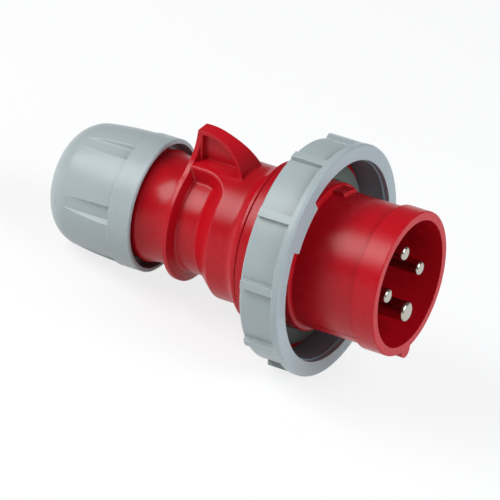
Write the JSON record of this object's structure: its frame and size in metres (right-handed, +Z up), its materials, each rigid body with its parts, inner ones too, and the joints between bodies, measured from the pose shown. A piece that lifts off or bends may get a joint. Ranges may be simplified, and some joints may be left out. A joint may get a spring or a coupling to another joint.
{
  "type": "industrial pin and sleeve plug",
  "caption": "Watertight industrial pin and sleeve plug with a keyed round sleeve, contact pins, a bayonet locking ring and a gland nut on a finned rear housing.",
  "frame": {"origin": "bottom centre of the part's box, as it lies at rest", "axes": "+Z up; +X is the side the sleeve points to, nose up by the rest pitch; the plug's own axis lies in the X-Z plane"},
  "size_m": [0.1372, 0.0808, 0.0803],
  "materials": {
    "red_shell": "moulded polyamide, satin",
    "grey_plastic": "moulded polyamide, fine satin",
    "dark_liner": "soft dark lining",
    "rubber": "moulded rubber",
    "black_plastic": "moulded polyamide",
    "nickel": "nickel-plated brass",
    "steel": "zinc-plated steel",
    "washer": "slippery plastic"
  },
  "bodies": {
    "plug_body": {"sleeve_shell": "red_shell", "face_gasket": "rubber", "housing_seal": "rubber", "rear_housing": "red_shell", "clamp_cage": "black_plastic", "cable_seal": "rubber", "contact_carrier": "black_plastic", "contact_retainer": "black_plastic", "retainer_screws": "steel", "phase_pin_1": "nickel", "terminal_screw_1": "steel", "clamp_plate_1": "steel", "phase_pin_2": "nickel", "terminal_screw_2": "steel", "clamp_plate_2": "steel", "phase_pin_3": "nickel", "terminal_screw_3": "steel", "clamp_plate_3": "steel", "earth_pin": "nickel", "terminal_screw_4": "steel", "clamp_plate_4": "steel"},
    "locking_ring": {"locking_ring": "grey_plastic", "ring_liner": "dark_liner"},
    "gland_slider": {"slip_washer": "washer"},
    "gland_nut": {"gland_nut": "grey_plastic"}
  },
  "joints": [
    {"name": "ring_turn", "type": "hinge", "parent": "plug_body", "child": "locking_ring", "pos_m": [0.03618, 0, 0.04096], "axis": [0.9777, 0, 0.2101], "range_deg": [0, 45]},
    {"name": "gland_travel", "type": "slide", "parent": "plug_body", "child": "gland_slider", "axis": [0.9777, 0, 0.2101], "range_m": [0, 0.003]},
    {"name": "gland_turn", "type": "hinge", "parent": "gland_slider", "child": "gland_nut", "pos_m": [-0.03841, 0, 0.02493], "axis": [0.9777, 0, 0.2101], "range_deg": [0, 360]}
  ],
  "couplings": [
    {"joint": "gland_travel", "follows": "gland_turn", "m_per_rad": 0.00047746}
  ]
}
